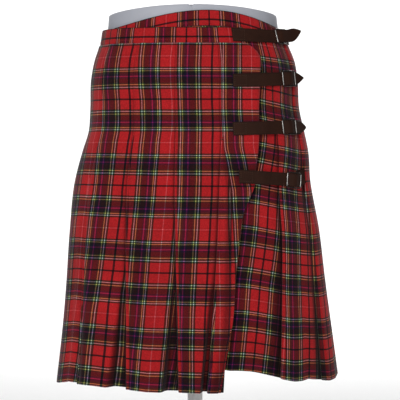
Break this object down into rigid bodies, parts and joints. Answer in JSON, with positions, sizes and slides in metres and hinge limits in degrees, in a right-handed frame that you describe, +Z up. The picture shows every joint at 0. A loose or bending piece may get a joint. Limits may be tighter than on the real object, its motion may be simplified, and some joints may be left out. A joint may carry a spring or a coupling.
{
  "type": "kilt skirt on dress form",
  "caption": "Knee-length tartan wrap kilt skirt with knife pleats, waistband and leather straps in wire buckles, worn on a limbless hip form on a pole and round base.",
  "frame": {"origin": "on the floor, at the centre of the round base's underside", "axes": "+Z up, the skirt's front faces -Y, and +X is the side with the buckles"},
  "size_m": [0.4715, 0.3304, 0.8179],
  "materials": {
    "tartan_cloth": "red tartan twill with black, white, yellow and magenta lines",
    "dark_brown_leather": "smooth, softly shining",
    "silver_wire": "plated wire",
    "pale_grey_shell": "smooth satin",
    "white_painted_steel": "white paint"
  },
  "bodies": {
    "root": {"waistband": "tartan_cloth", "front_apron": "tartan_cloth", "back_panel": "tartan_cloth", "under_apron": "tartan_cloth", "strap_1": "dark_brown_leather", "strap_2": "dark_brown_leather", "strap_3": "dark_brown_leather", "strap_4": "dark_brown_leather", "buckle_tab_1": "dark_brown_leather", "buckle_tab_2": "dark_brown_leather", "buckle_tab_3": "dark_brown_leather", "buckle_tab_4": "dark_brown_leather", "buckle_1": "silver_wire", "buckle_2": "silver_wire", "buckle_3": "silver_wire", "buckle_4": "silver_wire", "hip_form": "pale_grey_shell", "form_pole": "white_painted_steel", "form_base": "white_painted_steel"}
  },
  "joints": []
}
